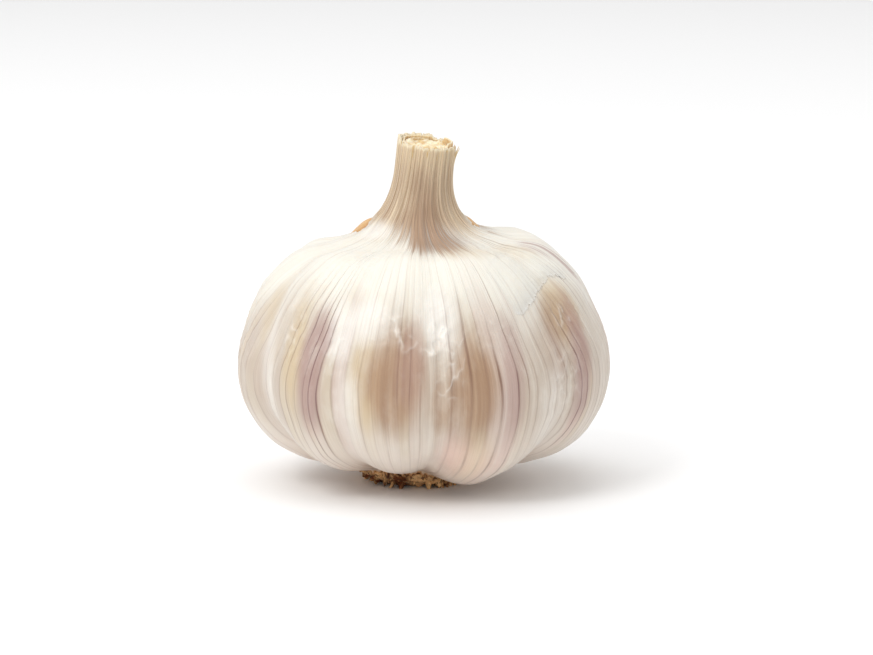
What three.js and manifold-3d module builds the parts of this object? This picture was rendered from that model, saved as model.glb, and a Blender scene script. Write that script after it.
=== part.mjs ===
// A whole head of garlic, cured and trimmed, standing on its root plate.
//
// Millimetres, +Z up. The origin is the middle of the root plate's flat underside, where the head rests.
// Azimuths are in degrees: 0 faces -Y, the front, and they grow towards +X.
//
// The pieces, from the ground up:
//   root_plate        corky disc with the stubs of the trimmed roots
//   wrapped_bulb      the cloves in their papery leaves, which draw together into the neck
//   inner_skin_left   drier, tan leaf that shows where the white one has split at the neck's foot
//   inner_skin_right  the same leaf on the other side
//   inner_sheath      rolled leaf base inside the cut neck
//   stalk_pith        spongy middle of the stalk inside the cut neck

import * as THREE from "three";
import { ParametricGeometry } from "three/addons/geometries/ParametricGeometry.js";
import { mergeVertices } from "three/addons/utils/BufferGeometryUtils.js";
import Module from "manifold-3d";

const wasm = await Module();
wasm.setup();

const GAP = 0.3; // between pieces that touch

// ---------------------------------------------------------------- the head's outline

// The outline over the crest of a clove, from the root plate's rim to the cut end of the neck: radius,
// height, how much of the valley between two cloves shows there, from 0 to 1, and how far the head's
// middle is from the root plate's, towards +X, because the head grew fuller on that side and its neck
// leans that way.
const CREST_OUTLINE = [
  [8.3, 3.1, 0.0, 0.0], // rim round the root plate
  [13.5, 3.8, 0.6, 0.3],
  [20.5, 5.3, 1.0, 1.0], // underside of the cloves
  [27.4, 9.2, 0.95, 1.6],
  [31.5, 15.2, 0.7, 1.8],
  [32.4, 22.0, 0.55, 1.8], // widest
  [31.0, 28.6, 0.5, 1.7],
  [27.6, 36.0, 0.55, 1.5],
  [21.8, 41.5, 0.5, 1.3], // shoulder
  [15.4, 42.9, 0.35, 1.3],
  [10.6, 44.3, 0.15, 1.1], // foot of the neck
  [7.7, 46.6, 0.0, 1.0],
  [6.0, 49.4, 0.0, 1.2],
  [5.1, 53.2, 0.0, 1.6],
  [4.9, 59.4, 0.0, 2.3], // cut end
];
const WIDEST = 22.0; // height of the widest place

// Each clove: the azimuth of its crest, half its angular width, how far it stands out, and how much
// lower its underside, under the crest, and higher its shoulder are than the outline.
const CLOVES = [
  { crest: -11, half: 21, out: 0.0, foot: 0.0, crown: 0.0 },
  { crest: 27, half: 26, out: 0.4, foot: 2.1, crown: 0.0 },
  { crest: 73, half: 25, out: 0.3, foot: 0.5, crown: 0.3 },
  { crest: 121, half: 23, out: -0.3, foot: 0.0, crown: 2.4 },
  { crest: 165, half: 20, out: 0.2, foot: 0.6, crown: 1.0 },
  { crest: 205, half: 20, out: -0.2, foot: 0.2, crown: -2.0 },
  { crest: 244, half: 19, out: 0.2, foot: 0.4, crown: -2.0 },
  { crest: 280.5, half: 17.5, out: 0.3, foot: 0.3, crown: -1.2 },
  { crest: 316, half: 18, out: -0.1, foot: 0.6, crown: -0.8 },
];
const VALLEY_DEPTH = 2.6; // where the outline's share is 1
const VALLEY_SHARPNESS = 5; // of the smooth maximum that joins the cloves

const NECK_FOOT = 45; // height where the neck starts to show its ribs
const [NECK_RADIUS, NECK_TOP, , NECK_LEAN] = CREST_OUTLINE.at(-1);
const CUT_SLANT = 0.7; // how much higher the cut is on its high side, and lower opposite it
const CUT_HIGH_SIDE = 225; // azimuth
const NECK_RIBS = 24;
const RIB_HEIGHT = 0.16;

const outline = new THREE.SplineCurve(
  CREST_OUTLINE.map(([radius, height]) => new THREE.Vector2(radius, height)),
);
const shareAndMiddle = new THREE.SplineCurve(
  CREST_OUTLINE.map(([, , share, middle]) => new THREE.Vector2(share, middle)),
);

// How much of each clove an azimuth has, adding up to 1, and how deep the valley is there, 0 to 1.
// Each clove is a parabola that is 1 at its crest and 0 at its edges; a smooth maximum joins them.
function clovesAt(azimuth) {
  const parabolas = CLOVES.map(({ crest, half }) => {
    const apart = THREE.MathUtils.euclideanModulo(azimuth - crest + 180, 360) - 180;
    return 1 - (apart / half) ** 2;
  });
  const weights = parabolas.map((parabola) => Math.exp(VALLEY_SHARPNESS * parabola));
  const total = weights.reduce((sum, weight) => sum + weight, 0);
  const blended = (key, fade = () => 1) =>
    CLOVES.reduce((sum, clove, i) => sum + (clove[key] * fade(i) * weights[i]) / total, 0);
  return {
    valley: Math.max(0, 1 - Math.log(total) / VALLEY_SHARPNESS),
    out: blended("out"),
    foot: blended("foot", (i) => Math.max(0, parabolas[i]) ** 2),
    crown: blended("crown"),
  };
}

const slantAt = (azimuth) =>
  CUT_SLANT * Math.cos(THREE.MathUtils.degToRad(azimuth - CUT_HIGH_SIDE));

// A point on the head's skin, lifted off it by `lift`. `along` runs from 0 at the root plate's rim to 1
// at the cut end of the neck.
function skinPoint(azimuth, along, lift, target) {
  const here = outline.getPoint(along);
  const tangent = outline.getTangent(along);
  const { x: valleyShare, y: middle } = shareAndMiddle.getPoint(along);
  const share = THREE.MathUtils.clamp(valleyShare, 0, 1);
  const clove = clovesAt(azimuth);
  const angle = THREE.MathUtils.degToRad(azimuth);

  // Into the valley, square to the outline.
  const inward = VALLEY_DEPTH * share * clove.valley - lift - clove.out * share;
  let radius = here.x - tangent.y * inward;
  let height = here.y + tangent.x * inward;
  // Each clove's own underside and shoulder.
  const below = THREE.MathUtils.smoothstep(WIDEST - here.y, 0, 16);
  const above = THREE.MathUtils.smoothstep(here.y - WIDEST, 0, 18);
  height += share * (clove.crown * above - clove.foot * below);
  // The neck's ribs and its slanting cut.
  const neck = THREE.MathUtils.smoothstep(here.y, NECK_FOOT, NECK_TOP);
  height += slantAt(azimuth) * neck ** 2;
  radius += RIB_HEIGHT * Math.min(1, 4 * neck) * Math.cos(NECK_RIBS * angle);
  return target.set(
    radius * Math.sin(angle) + middle,
    -radius * Math.cos(angle),
    height,
  );
}

// ---------------------------------------------------------------- helpers

// A closed surface: rings of points, each a function of the azimuth, joined in order. The first and
// the last ring lie on the head's axis.
function closedRings(rings, slices) {
  const geometry = new ParametricGeometry(
    (u, v, target) => {
      const ring = rings[Math.round(v * (rings.length - 1))];
      ring(u >= 1 ? 0 : u * 360, target);
    },
    slices,
    rings.length - 1,
  );
  return welded(geometry);
}

function welded(geometry) {
  geometry.deleteAttribute("normal");
  geometry.deleteAttribute("uv");
  return mergeVertices(geometry, 1e-4);
}

function solidOf(geometry) {
  const flat = welded(geometry.clone());
  return new wasm.Manifold(
    new wasm.Mesh({
      numProp: 3,
      vertProperties: flat.attributes.position.array,
      triVerts: new Uint32Array(flat.index.array),
    }),
  );
}

function geometryOf(solid) {
  const mesh = solid.getMesh();
  const geometry = new THREE.BufferGeometry();
  geometry.setAttribute("position", new THREE.BufferAttribute(mesh.vertProperties, 3));
  geometry.setIndex(new THREE.BufferAttribute(mesh.triVerts, 1));
  geometry.computeVertexNormals();
  return geometry;
}

// A ring about the root plate's axis, or `leanX` from it, whose height may follow the cut's slant.
const circle = (radius, height, leanX = 0, slant = 0) => (azimuth, target) => {
  const angle = THREE.MathUtils.degToRad(azimuth);
  return target.set(
    radius * Math.sin(angle) + leanX,
    -radius * Math.cos(angle),
    height + slant * slantAt(azimuth),
  );
};

function piece(name, geometry, color, roughness) {
  const material = new THREE.MeshStandardMaterial({ color, roughness, metalness: 0 });
  const mesh = new THREE.Mesh(geometry, material);
  mesh.name = name;
  return mesh;
}

// A repeatable scatter between 0 and 1 for the nth of anything.
const scatter = (n, seed) => THREE.MathUtils.euclideanModulo(Math.sin(n * 12.9898 + seed) * 43758.5453, 1);

// ---------------------------------------------------------------- the wrapped bulb

const SEAT_RADIUS = 4.5; // of the ring inside the seat that keeps its triangles short
const BULB_SLICES = 96;
const BULB_RINGS = 38; // along the skin
const SOCKET_WALL = 0.6; // thickness of the outer leaves at the cut end
const SOCKET_TAPER = 0.2;
const SOCKET_DEPTH = 4.5;
const SEAT_HEIGHT = CREST_OUTLINE[0][1]; // where the root plate meets the bulb

function wrappedBulb() {
  const skin = Array.from({ length: BULB_RINGS + 1 }, (_, i) => (azimuth, target) => {
    skinPoint(azimuth, i / BULB_RINGS, 0, target);
  });
  const socket = NECK_TOP - SOCKET_DEPTH;
  const inside = NECK_RADIUS - SOCKET_WALL;
  const rings = [
    circle(0, SEAT_HEIGHT),
    circle(SEAT_RADIUS, SEAT_HEIGHT),
    ...skin,
    circle(inside, NECK_TOP, NECK_LEAN, 1),
    circle(inside - SOCKET_TAPER, socket, NECK_LEAN),
    circle(0, socket, NECK_LEAN),
  ];
  return piece("wrapped_bulb", closedRings(rings, BULB_SLICES), 0xeee6d8, 0.5);
}

// ---------------------------------------------------------------- inside the cut neck

const SHEATH_OUTER = NECK_RADIUS - SOCKET_WALL - SOCKET_TAPER - GAP;
const SHEATH_WALL = 0.6;
const SHEATH_PROUD = 0.2; // above the outer leaves' cut
const PITH_RADIUS = SHEATH_OUTER - SHEATH_WALL - GAP;
const PITH_SUNK = 0.5; // below the cut
const PITH_EDGE = 0.5; // width of the pith's worn edge
const SOCKET_FLOOR = NECK_TOP - SOCKET_DEPTH + GAP;

// A leaf base rolled into a tube, cut with the neck.
function innerSheath() {
  const inner = SHEATH_OUTER - SHEATH_WALL;
  const rings = [
    circle(inner, SOCKET_FLOOR, NECK_LEAN),
    circle(SHEATH_OUTER, SOCKET_FLOOR, NECK_LEAN),
    circle(SHEATH_OUTER, NECK_TOP + SHEATH_PROUD, NECK_LEAN, 1),
    circle(inner, NECK_TOP + SHEATH_PROUD, NECK_LEAN, 1),
    circle(inner, SOCKET_FLOOR, NECK_LEAN),
  ];
  return piece("inner_sheath", closedRings(rings, 32), 0xe8cf9f, 0.7);
}

function stalkPith() {
  const top = NECK_TOP - PITH_SUNK;
  const rings = [
    circle(0, SOCKET_FLOOR, NECK_LEAN),
    circle(PITH_RADIUS, SOCKET_FLOOR, NECK_LEAN),
    circle(PITH_RADIUS, top - PITH_EDGE / 2, NECK_LEAN, 0.5),
    circle(PITH_RADIUS - PITH_EDGE, top, NECK_LEAN, 0.5),
    circle(0, top - PITH_EDGE / 2, NECK_LEAN),
  ];
  return piece("stalk_pith", closedRings(rings, 24), 0xf6e6c4, 0.9);
}

// ---------------------------------------------------------------- tan leaf at the neck's foot

// A lens that follows the skin, `GAP` off it, and bridges the hollow at the neck's foot. Its middle is
// at `azimuth` and `along`, it reaches `across` degrees and `up` of the outline from there, and its
// middle stands `bulge` proud of its rim.
const LEAF_RIM = 0.25; // thickness
const LEAF_STEPS = 6; // from the middle to the rim
const LEAF_SLICES = 28;

function innerSkin(name, { azimuth, along, across, up, bulge }) {
  const ring = (share, outer) => (turn, target) => {
    const angle = THREE.MathUtils.degToRad(turn);
    const lift = GAP + (outer ? LEAF_RIM + bulge * (1 - share ** 2) : 0);
    return skinPoint(
      azimuth + across * share * Math.cos(angle),
      along - up * share * Math.sin(angle),
      lift,
      target,
    );
  };
  const shares = Array.from({ length: LEAF_STEPS + 1 }, (_, i) => i / LEAF_STEPS);
  const rings = [
    ...shares.map((share) => ring(share, true)),
    ...shares.map((share) => ring(1 - share, false)),
  ];
  return piece(name, closedRings(rings, LEAF_SLICES), 0xdfae6b, 0.6);
}

// ---------------------------------------------------------------- the root plate

const PLATE_RADIUS = 9.4;
const PLATE_TOP = SEAT_HEIGHT - GAP;
const FOOT_RADIUS = 6.0; // of the flat that the head rests on
const ROOT_ROWS = [
  { count: 19, radius: 8.0, height: 1.5, length: 2.0, thick: 1.15, tilt: 50 },
  { count: 12, radius: 6.8, height: 1.1, length: 1.5, thick: 1.0, tilt: 22 },
];
const ROOT_TAPER = 0.3; // a stub's tip, as a share of its foot

function rootPlate() {
  const profile = [
    [0, 0],
    [FOOT_RADIUS, 0],
    [7.8, 0.7],
    [PLATE_RADIUS, 1.9],
    [PLATE_RADIUS - 0.5, PLATE_TOP],
    [0, PLATE_TOP],
  ].map(([radius, height]) => new THREE.Vector2(radius, height));
  const disc = new THREE.LatheGeometry(profile, 40);
  disc.rotateX(Math.PI / 2);
  let solid = solidOf(disc);
  for (const row of ROOT_ROWS)
    for (let i = 0; i < row.count; i++) solid = solid.add(solidOf(rootStub(row, i)));
  // The stubs were trimmed level with the flat, and none stands above the seat.
  const width = 3 * PLATE_RADIUS;
  const slab = new THREE.BoxGeometry(width, width, PLATE_TOP).translate(0, 0, PLATE_TOP / 2);
  return piece("root_plate", geometryOf(solid.intersect(solidOf(slab))), 0x8a5a2e, 0.95);
}

// One root stub: a tapered twig that points outwards and down, each a little different.
function rootStub({ count, radius, height, length, thick, tilt }, i) {
  const long = length * (0.6 + 0.6 * scatter(i, count));
  const stub = new THREE.CylinderGeometry(thick, ROOT_TAPER * thick, long, 6);
  stub.translate(0, -long / 2, 0); // hangs down along -Y from its root
  stub.rotateX(Math.PI / 2); // and now along -Z
  stub.rotateX(THREE.MathUtils.degToRad(-tilt + 24 * (scatter(i, 2 * count) - 0.5)));
  stub.translate(0, -radius, height + 0.6 * scatter(i, 3 * count));
  stub.rotateZ((2 * Math.PI * (i + 0.5 * scatter(i, 4 * count))) / count);
  return stub;
}

// ---------------------------------------------------------------- assembly

const garlic = new THREE.Group();
garlic.add(
  rootPlate(),
  wrappedBulb(),
  innerSkin("inner_skin_left", { azimuth: 257, along: 0.735, across: 22, up: 0.055, bulge: 0.3 }),
  innerSkin("inner_skin_right", { azimuth: 100, along: 0.755, across: 14, up: 0.045, bulge: 0.05 }),
  innerSheath(),
  stalkPith(),
);

export default garlic;
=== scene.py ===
"""A head of garlic, cured and trimmed, standing on its root plate.

The head is worked out as one surface over two parameters: the azimuth, in degrees, which is 0 at the
front (-Y) and grows towards +X, and `along`, which is 0 at the root plate's rim and 1 at the cut end of
the neck. Sizes are in millimetres until a mesh is made, which is in metres.
"""

import math

import bpy
import numpy as np
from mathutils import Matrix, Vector


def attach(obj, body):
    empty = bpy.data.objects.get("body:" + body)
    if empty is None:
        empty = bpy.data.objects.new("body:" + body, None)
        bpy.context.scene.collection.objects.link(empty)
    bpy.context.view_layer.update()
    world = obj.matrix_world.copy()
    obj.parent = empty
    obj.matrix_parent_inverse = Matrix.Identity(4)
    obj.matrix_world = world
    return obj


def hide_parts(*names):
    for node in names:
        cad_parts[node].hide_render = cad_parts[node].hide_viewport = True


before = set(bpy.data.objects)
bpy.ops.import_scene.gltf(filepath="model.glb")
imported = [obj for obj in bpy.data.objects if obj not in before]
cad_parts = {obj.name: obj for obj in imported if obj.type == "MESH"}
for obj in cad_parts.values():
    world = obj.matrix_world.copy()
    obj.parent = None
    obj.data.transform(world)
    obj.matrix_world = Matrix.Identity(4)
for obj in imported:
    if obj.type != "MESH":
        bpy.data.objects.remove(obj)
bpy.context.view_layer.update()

# ---------------------------------------------------------------- the wrapped head
# Nine plump cloves under their dried leaves. The leaves are thin white paper with mauve streaks and
# brown lengthwise veins; they cling to the cloves and gather above them into a ribbed, fibrous neck.

MILLIMETRE = 0.001

# Over the crest of a clove, evenly spaced in `along`: radius, height, how much of the valley between
# two cloves shows, and how far the head's middle is from the root plate's, towards +X.
CREST_OUTLINE = np.array([
    (8.3, 3.1, 0.0, 0.0),  # rim round the root plate
    (13.5, 3.8, 0.6, 0.3),
    (20.5, 5.3, 1.0, 1.0),  # underside of the cloves
    (27.4, 9.2, 0.95, 1.6),
    (31.5, 15.2, 0.7, 1.8),
    (32.4, 22.0, 0.55, 1.8),  # widest
    (31.0, 28.6, 0.5, 1.7),
    (27.6, 36.0, 0.55, 1.5),
    (21.8, 41.5, 0.5, 1.3),  # shoulder
    (15.4, 42.9, 0.35, 1.3),
    (10.6, 44.3, 0.15, 1.1),  # foot of the neck
    (7.7, 46.6, 0.0, 1.0),
    (6.0, 49.4, 0.0, 1.2),
    (5.1, 53.2, 0.0, 1.6),
    (4.9, 59.4, 0.0, 2.3),  # cut end
])
WIDEST = 22.0
UNDERSIDE, SHOULDER = 16, 18  # how far from the widest place a clove's foot and crown are full
NECK_FOOT = 45.0
NECK_RADIUS, NECK_TOP, NECK_LEAN = CREST_OUTLINE[-1, [0, 1, 3]]
CUT_SLANT = 0.7
CUT_HIGH_SIDE = 225

# Each clove: azimuth of its crest, half its width, how far it stands out, and how much lower its
# underside and higher its shoulder are than the outline.
CLOVES = np.array([
    (-11, 21, 0.0, 0.0, 0.0),
    (27, 26, 0.4, 2.1, 0.0),
    (73, 25, 0.3, 0.5, 0.3),
    (121, 23, -0.3, 0.0, 2.4),
    (165, 20, 0.2, 0.6, 1.0),
    (205, 20, -0.2, 0.2, -2.0),
    (244, 19, 0.2, 0.4, -2.0),
    (280.5, 17.5, 0.3, 0.3, -1.2),
    (316, 18, -0.1, 0.6, -0.8),
])
VALLEY_DEPTH = 2.6
VALLEY_SHARPNESS = 5


def smoothstep(value, low, high):
    """0 below `low`, 1 above `high`, and between them 3t^2 - 2t^3 of the way t from one to the other."""
    part = np.clip((value - low) / (high - low), 0, 1)
    return part * part * (3 - 2 * part)


def spline(points, where):
    """Cubic curve through the rows of `points`, evenly spaced from 0 to 1 in `where`. Its slope at a
    row is half the step between that row's two neighbours."""
    last = len(points) - 1
    position = np.clip(where, 0, 1) * last
    row = np.minimum(position.astype(int), last - 1)
    part = (position - row)[..., None]
    before, start, end, after = (points[np.clip(row + step, 0, last)] for step in (-1, 0, 1, 2))
    slope_in = (end - before) / 2
    slope_out = (after - start) / 2
    cubic = 2 * (start - end) + slope_in + slope_out
    square = 3 * (end - start) - 2 * slope_in - slope_out
    return ((cubic * part + square) * part + slope_in) * part + start


def degrees_apart(azimuth, other):
    """Signed angle from `other` to `azimuth`, between -180 and 180."""
    return (azimuth - other + 180) % 360 - 180


def cloves_at(azimuth):
    """How deep the valley is at an azimuth, 0 to 1, and the out, foot and crown of the cloves there.
    Each clove is a parabola, 1 at its crest and 0 at its edges; a smooth maximum joins them, and the
    three sizes are blended by each clove's share of it; the foot is full only under the crest."""
    crest, half, out, foot, crown = CLOVES.T
    parabolas = 1 - (degrees_apart(azimuth[..., None], crest) / half) ** 2
    weights = np.exp(VALLEY_SHARPNESS * parabolas)
    total = weights.sum(-1)
    foot = foot * np.maximum(0, parabolas) ** 2
    out, foot, crown = (((weights * size).sum(-1) / total) for size in (out, foot, crown))
    return np.maximum(0, 1 - np.log(total) / VALLEY_SHARPNESS), out, foot, crown


def cut_slant(azimuth):
    """How much higher than its middle the slanting cut is on that side."""
    return CUT_SLANT * np.cos(np.radians(azimuth - CUT_HIGH_SIDE))


def skin_point(azimuth, along, lift=0.0):
    """Points of the head's skin, in millimetres: the outline turned about the axis, carried inwards
    along its own normal into the valleys, and outwards along it by `lift`."""
    azimuth, along, lift = np.broadcast_arrays(azimuth, along, lift)
    radius, height, share, middle = np.moveaxis(spline(CREST_OUTLINE, along), -1, 0)
    step = 1e-4
    ahead = spline(CREST_OUTLINE[:, :2], np.clip(along + step, 0, 1))
    tangent = ahead - spline(CREST_OUTLINE[:, :2], np.clip(along - step, 0, 1))
    tangent /= np.linalg.norm(tangent, axis=-1, keepdims=True)
    share = np.clip(share, 0, 1)
    valley, out, foot, crown = cloves_at(azimuth)

    inward = VALLEY_DEPTH * share * valley - lift - out * share
    below = smoothstep(WIDEST - height, 0, UNDERSIDE)
    above = smoothstep(height - WIDEST, 0, SHOULDER)
    neck = smoothstep(height, NECK_FOOT, NECK_TOP)
    radius = radius - tangent[..., 1] * inward
    height = height + tangent[..., 0] * inward + share * (crown * above - foot * below)
    height = height + cut_slant(azimuth) * neck**2
    angle = np.radians(azimuth)
    return np.stack([radius * np.sin(angle) + middle, -radius * np.cos(angle), height], -1)


def ripples(places, wavelength, seed, waves=28):
    """Smooth seeded noise of about -1 to 1: the sum of sine waves of one wavelength whose directions
    and phases are scattered. `places` are in millimetres."""
    scatter = np.random.default_rng(seed)
    directions = scatter.normal(size=(waves, 3))
    directions /= np.linalg.norm(directions, axis=1, keepdims=True)
    directions *= scatter.uniform(0.7, 1.4, size=(waves, 1)) * 2 * np.pi / wavelength
    total = np.zeros(places.shape[:-1])
    for direction, phase in zip(directions, scatter.uniform(0, 2 * np.pi, waves)):
        total += np.sin(places @ direction + phase)
    return total / np.sqrt(waves)


def strands(azimuth, counts, seed):
    """Ribs round the neck, about -1 to 1: the sum of cosines with whole numbers of ribs per turn, so
    that the turn closes, each with a scattered strength and phase."""
    scatter = np.random.default_rng(seed)
    total = np.zeros(np.shape(azimuth))
    for count in counts:
        strength, phase = scatter.uniform(0.5, 1.2), scatter.uniform(0, 2 * np.pi)
        total += strength * np.cos(np.radians(azimuth) * count + phase)
    return total / np.sqrt(len(counts))


# Places where the thin leaf lies crumpled or is pulled into a crease: azimuth, along, half width in
# degrees, half length in `along`, and height of the folds in millimetres.
CRUMPLES = [
    (6, 0.41, 6, 0.08, 0.36),
    (-8, 0.45, 8, 0.035, 0.25),
    (22, 0.45, 8, 0.03, 0.2),
    (-28, 0.41, 4, 0.05, 0.3),
    (-46, 0.44, 6, 0.06, 0.22),
    (56, 0.46, 8, 0.02, 0.25),
    (-78, 0.42, 6, 0.08, 0.2),
    (49, 0.35, 8, 0.07, 0.22),
    (42, 0.62, 14, 0.05, 0.16),
    (-30, 0.6, 14, 0.06, 0.12),
    (98, 0.4, 8, 0.1, 0.18),
    (145, 0.46, 7, 0.07, 0.18),
    (186, 0.42, 6, 0.09, 0.16),
    (225, 0.46, 8, 0.06, 0.18),
    (262, 0.38, 7, 0.08, 0.16),
]


def crumpled(azimuth, along):
    """Height of the folds at each point, in millimetres."""
    height = np.zeros(np.shape(azimuth))
    for middle, level, wide, long, highest in CRUMPLES:
        apart = (degrees_apart(azimuth, middle) / wide) ** 2 + ((along - level) / long) ** 2
        height += highest * np.exp(-apart)
    return height


# Heights of the leaf's relief.
NECK_RIBS, FINE_RIBS, PLEATS, ROOT_GATHERS = 0.1, 0.05, 0.09, 0.1
BROAD_LUMPS, SMALL_LUMPS, FAINT_CREASES = 0.16, 0.05, 0.03


def ridges(places, wavelength, seed):
    """Ridged noise: 1 less the noise's size, squared, so that it has sharp crests."""
    return (1 - np.minimum(1, np.abs(ripples(places, wavelength, seed)))) ** 2


def relief(azimuth, along):
    """How far the real leaf stands off the plain head, in millimetres: ribs on the neck that die out
    as pleats over the shoulder, gathers round the root plate, soft lumps, and folds where it is
    crumpled."""
    places = skin_point(azimuth, along)
    on_neck = smoothstep(along, 0.66, 0.8)
    pleated = smoothstep(along, 0.52, 0.74) * (1 - 0.5 * on_neck)
    at_root = 1 - smoothstep(along, 0.0, 0.17)
    drift = azimuth + 3.0 * np.sin(9 * along)
    lift = NECK_RIBS * on_neck * strands(drift, (13, 19, 26, 33, 41), 4)
    lift += FINE_RIBS * on_neck * strands(drift, (57, 74, 95), 5)
    lift += PLEATS * pleated * strands(drift, (17, 23, 31, 38), 6)
    lift += ROOT_GATHERS * at_root * strands(azimuth + 30 * along, (21, 34, 47, 58), 7)
    belly = smoothstep(along, 0.03, 0.2) * (1 - smoothstep(along, 0.6, 0.72))
    lift += belly * (BROAD_LUMPS * ripples(places, 17, 11) + SMALL_LUMPS * ripples(places, 6, 12))
    folds = ridges(places, 5.0, 13)
    creases = ridges(places * (1, 1, 0.55), 2.6, 14)
    lift += crumpled(azimuth, along) * (folds + 0.9 * creases - 0.6) + FAINT_CREASES * belly * creases
    return lift


def mesh_piece(name, places, faces, corners_uv, attributes=()):
    """A smooth mesh of `places`, in millimetres, with a UV map and named attributes: numbers or
    vectors, one for each place or one for each corner of a face."""
    mesh = bpy.data.meshes.new(name)
    mesh.from_pydata(places * MILLIMETRE, [], faces)
    mesh.uv_layers.new(name="OFBake").uv.foreach_set("vector", corners_uv.ravel().astype(np.float32))
    for title, values in attributes:
        kind = "FLOAT" if values.ndim == 1 else "FLOAT_VECTOR"
        layer = mesh.attributes.new(title, kind, "POINT" if len(values) == len(places) else "CORNER")
        field = "value" if kind == "FLOAT" else "vector"
        layer.data.foreach_set(field, values.ravel().astype(np.float32))
    mesh.polygons.foreach_set("use_smooth", np.ones(len(mesh.polygons), bool))
    mesh.update()
    piece = bpy.data.objects.new(name, mesh)
    bpy.context.scene.collection.objects.link(piece)
    return piece


def turned_piece(name, rings, attributes=(), lanes=None):
    """A surface closed round its axis. `rings` is (rings, slices, 3), from the bottom up, with the
    azimuth growing along each; a fan closes the first and the last ring. `lanes` is the field that
    tells where each point is between the veins; it jumps where the turn closes, so faces have their
    own values of it."""
    count, slices = rings.shape[:2]
    ring, slice_ = np.meshgrid(np.arange(count - 1), np.arange(slices), indexing="ij")
    ring, slice_ = ring.ravel(), slice_.ravel()
    beside = (slice_ + 1) % slices
    faces = np.stack([ring * slices + slice_, ring * slices + beside,
                      (ring + 1) * slices + beside, (ring + 1) * slices + slice_], -1)
    across, up = slice_ / slices, ring / (count - 1)
    wide, tall = 1 / slices, 1 / (count - 1)
    uv = np.stack([across, up, across + wide, up, across + wide, up + tall, across, up + tall], -1)
    places = rings.reshape(-1, 3)
    faces, uv = [faces], [uv.reshape(-1, 2)]
    columns = [[title, values.reshape(count * slices, *values.shape[2:])] for title, values in attributes]
    for at, turn in ((0, -1), (count - 1, 1)):
        start = at * slices
        middle = len(places)
        places = np.concatenate([places, rings[at].mean(0, keepdims=True)])
        around = np.arange(slices)
        onward = (around + 1) % slices
        first, second = (around, onward) if turn == 1 else (onward, around)
        faces.append(np.stack([start + first, start + second, np.full(slices, middle)], -1))
        level = at / (count - 1)
        fan = np.stack([first / slices, np.full(slices, level), second / slices, np.full(slices, level),
                        (around + 0.5) / slices, np.full(slices, level)], -1)
        uv.append(fan.reshape(-1, 2))
        for column in columns:
            column[1] = np.concatenate([column[1], column[1][start:start + slices].mean(0, keepdims=True)])
    uv = np.concatenate(uv)
    if lanes is not None:
        corners = np.concatenate([part.ravel() for part in faces])
        level = np.concatenate([lanes.ravel(), lanes[0, :1], lanes[-1, :1]])[corners]
        columns.append(["lane", lane_at(gathered(uv[:, 0] * 360 - 180, level))[0]])
    return mesh_piece(name, places, [face for part in faces for face in part.tolist()], uv, columns)


HEAD_SLICES = 432
HEAD_RINGS = 222
RIM_WALL = 0.45  # thickness of the cut leaves round the neck
RIM_RAGGED = 0.16
RIM_TORN_HIGH = 0.6
RIM_BENT_LOW = 0.5
ROOT_RIM_TORN = 0.3
SOCKET_FLOOR = 55.2
SEAT_RADIUS, SEAT_HEIGHT = 0.55 * CREST_OUTLINE[0, 0], CREST_OUTLINE[0, 1]

# Where the leaf is stained: azimuth, along, half width in degrees, half length in `along`, strength.
# Thin places cling to a clove, whose tan skin shows through; white ones lie loose over it, and those in
# the valleys at -58 and 43 degrees are partly a painted highlight.
THIN_PLACES = [
    (-10, 0.36, 9, 0.1, 1.0),
    (-4, 0.4, 6, 0.07, 0.6),
    (16, 0.355, 8, 0.105, 1.0),
    (6, 0.32, 5, 0.06, 0.6),
    (45, 0.42, 10, 0.06, 0.4),
    (58, 0.42, 6, 0.1, 0.5),
    (50, 0.465, 7, 0.045, 0.55),
    (86, 0.4, 9, 0.1, 0.55),
    (118, 0.38, 10, 0.11, 0.9),
    (163, 0.36, 9, 0.12, 0.9),
    (203, 0.37, 8, 0.12, 0.8),
    (243, 0.36, 8, 0.11, 0.75),
    (278, 0.35, 6, 0.1, 0.3),
]
MAUVE_PLACES = [
    (-37, 0.37, 5, 0.13, 1.0),
    (-33, 0.44, 5, 0.05, 0.5),
    (-4, 0.39, 6, 0.09, 0.5),
    (-55, 0.54, 11, 0.05, 0.35),
    (-69, 0.4, 5, 0.1, 0.3),
    (28, 0.35, 5, 0.15, 0.7),
    (11, 0.21, 7, 0.08, 0.6),
    (24, 0.19, 5, 0.08, 0.5),
    (46, 0.4, 5, 0.08, 0.35),
    (58, 0.36, 5, 0.15, 0.85),
    (70, 0.585, 8, 0.035, 1.0),
    (76, 0.54, 6, 0.05, 0.8),
    (101, 0.42, 7, 0.13, 0.7),
    (136, 0.4, 7, 0.14, 0.8),
    (184, 0.45, 6, 0.12, 0.7),
    (222, 0.4, 7, 0.12, 0.6),
    (258, 0.42, 7, 0.12, 0.8),
]
STRAW_PLACES = [
    (-44, 0.4, 5, 0.12, 0.9),
    (-18, 0.355, 6, 0.1, 1.0),
    (-63, 0.47, 6, 0.07, 0.6),
    (17, 0.22, 10, 0.08, 0.7),
    (54, 0.47, 10, 0.06, 0.9),
    (24, 0.62, 16, 0.05, 0.6),
    (52, 0.6, 16, 0.05, 0.45),
    (92, 0.36, 6, 0.14, 0.6),
    (150, 0.4, 6, 0.14, 0.7),
    (212, 0.36, 6, 0.12, 0.7),
    (268, 0.4, 6, 0.12, 0.7),
]
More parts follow.
